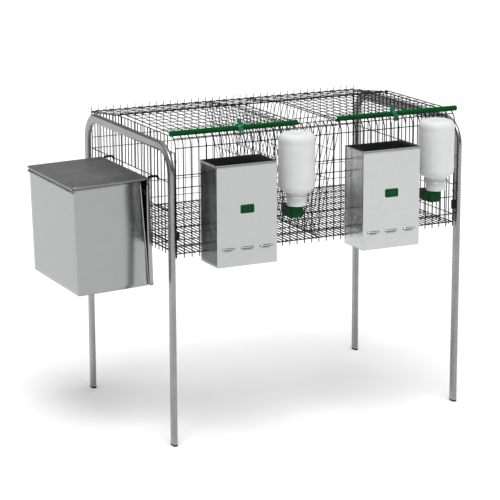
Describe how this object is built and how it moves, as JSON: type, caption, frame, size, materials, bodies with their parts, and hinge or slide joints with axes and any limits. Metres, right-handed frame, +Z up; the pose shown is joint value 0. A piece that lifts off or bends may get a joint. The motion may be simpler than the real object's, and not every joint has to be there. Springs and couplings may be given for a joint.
{
  "type": "rabbit cage",
  "caption": "Raised wire-mesh rabbit cage on tubular legs, with hinged roof lids, a central hay rack, a hang-on nest box, feed hoppers and water bottles.",
  "frame": {"origin": "on the floor, under the middle of the whole object's bounding box", "axes": "+X along the cage's length, away from the nest box; -Y towards the front with the hoppers and bottles; +Z up"},
  "size_m": [1.2486, 0.797, 0.974],
  "materials": {
    "galvanised_tube": "zinc-coated tube, soft shine",
    "galvanised_wire": "zinc-coated wire",
    "galvanised_sheet": "zinc-coated sheet, faint spangle",
    "grey_sheet": "zinc-coated sheet, dull",
    "hook_steel": "dark steel strip",
    "dark_green_plastic": "moulded, half gloss",
    "light_green_plastic": "moulded, half gloss",
    "black_plastic": "moulded, matt",
    "bottle_plastic": "milky blown plastic",
    "seal_rubber": "matt",
    "steel_pin": "polished"
  },
  "bodies": {
    "cage": {"leg_frame_left": "galvanised_tube", "leg_frame_right": "galvanised_tube", "foot_plugs": "black_plastic", "corner_clips": "black_plastic", "front_wall_mesh": "galvanised_wire", "back_wall_mesh": "galvanised_wire", "left_end_mesh": "galvanised_wire", "right_end_mesh": "galvanised_wire", "floor_mesh": "galvanised_wire", "hay_rack_left_mesh": "galvanised_wire", "hay_rack_right_mesh": "galvanised_wire", "roof_back_mesh": "galvanised_wire", "lid_hinge_wire": "galvanised_wire", "panel_rings": "galvanised_wire", "drinker_left_head": "dark_green_plastic", "drinker_left_seal": "seal_rubber", "bottle_left_holder": "galvanised_wire", "drinker_right_head": "dark_green_plastic", "drinker_right_seal": "seal_rubber", "bottle_right_holder": "galvanised_wire"},
    "nest_box": {"nest_body": "galvanised_sheet", "nest_inner_panel": "galvanised_sheet", "nest_hooks": "hook_steel", "nest_hinge_rod": "galvanised_sheet", "nest_body_knuckles": "galvanised_sheet"},
    "nest_lid": {"nest_lid": "grey_sheet", "nest_lid_knuckles": "grey_sheet"},
    "lid_left": {"lid_left_mesh": "galvanised_wire", "lid_left_bar": "dark_green_plastic", "lid_left_hinge_loops": "galvanised_wire"},
    "latch_left": {"latch_left": "light_green_plastic"},
    "feeder_left": {"feeder_left_hopper": "galvanised_sheet", "feeder_left_back": "galvanised_sheet", "feeder_left_slope": "galvanised_sheet", "feeder_left_trough": "galvanised_sheet", "feeder_left_hooks": "galvanised_sheet", "feeder_left_plate": "dark_green_plastic"},
    "bottle_left": {"bottle_left": "bottle_plastic"},
    "drinker_pin_left": {"drinker_left_pin": "steel_pin"},
    "lid_right": {"lid_right_mesh": "galvanised_wire", "lid_right_bar": "dark_green_plastic", "lid_right_hinge_loops": "galvanised_wire"},
    "latch_right": {"latch_right": "light_green_plastic"},
    "feeder_right": {"feeder_right_hopper": "galvanised_sheet", "feeder_right_back": "galvanised_sheet", "feeder_right_slope": "galvanised_sheet", "feeder_right_trough": "galvanised_sheet", "feeder_right_hooks": "galvanised_sheet", "feeder_right_plate": "dark_green_plastic"},
    "bottle_right": {"bottle_right": "bottle_plastic"},
    "drinker_pin_right": {"drinker_right_pin": "steel_pin"}
  },
  "joints": [
    {"name": "lid_left_swing", "type": "hinge", "parent": "cage", "child": "lid_left", "pos_m": [0.12677, 0.1535, 0.941], "axis": [-1, 0, 0], "range_deg": [0, 105]},
    {"name": "latch_left_turn", "type": "hinge", "parent": "lid_left", "child": "latch_left", "pos_m": [-0.13573, -0.2545, 0.95], "axis": [-1, 0, 0], "range_deg": [0, 55]},
    {"name": "feeder_left_lift", "type": "slide", "parent": "cage", "child": "feeder_left", "axis": [0, 0, 1], "range_m": [0, 0.03]},
    {"name": "bottle_left_lift", "type": "slide", "parent": "cage", "child": "bottle_left", "axis": [0, 0, 1], "range_m": [0, 0.08]},
    {"name": "drinker_pin_left_press", "type": "slide", "parent": "cage", "child": "drinker_pin_left", "axis": [0, -1, 0], "range_m": [0, 0.002], "stiffness_N_per_m": 150, "springref_m": -0.002},
    {"name": "lid_right_swing", "type": "hinge", "parent": "cage", "child": "lid_right", "pos_m": [0.12677, 0.1535, 0.941], "axis": [-1, 0, 0], "range_deg": [0, 105]},
    {"name": "latch_right_turn", "type": "hinge", "parent": "lid_right", "child": "latch_right", "pos_m": [0.38927, -0.2545, 0.95], "axis": [-1, 0, 0], "range_deg": [0, 55]},
    {"name": "feeder_right_lift", "type": "slide", "parent": "cage", "child": "feeder_right", "axis": [0, 0, 1], "range_m": [0, 0.03]},
    {"name": "bottle_right_lift", "type": "slide", "parent": "cage", "child": "bottle_right", "axis": [0, 0, 1], "range_m": [0, 0.08]},
    {"name": "drinker_pin_right_press", "type": "slide", "parent": "cage", "child": "drinker_pin_right", "axis": [0, -1, 0], "range_m": [0, 0.002], "stiffness_N_per_m": 150, "springref_m": -0.002},
    {"name": "nest_box_lift", "type": "slide", "parent": "cage", "child": "nest_box", "axis": [0, 0, 1], "range_m": [0, 0.04]},
    {"name": "nest_lid_swing", "type": "hinge", "parent": "nest_box", "child": "nest_lid", "pos_m": [-0.62122, 0.0461, 0.77508], "axis": [0, -1, 0], "range_deg": [0, 170]}
  ]
}
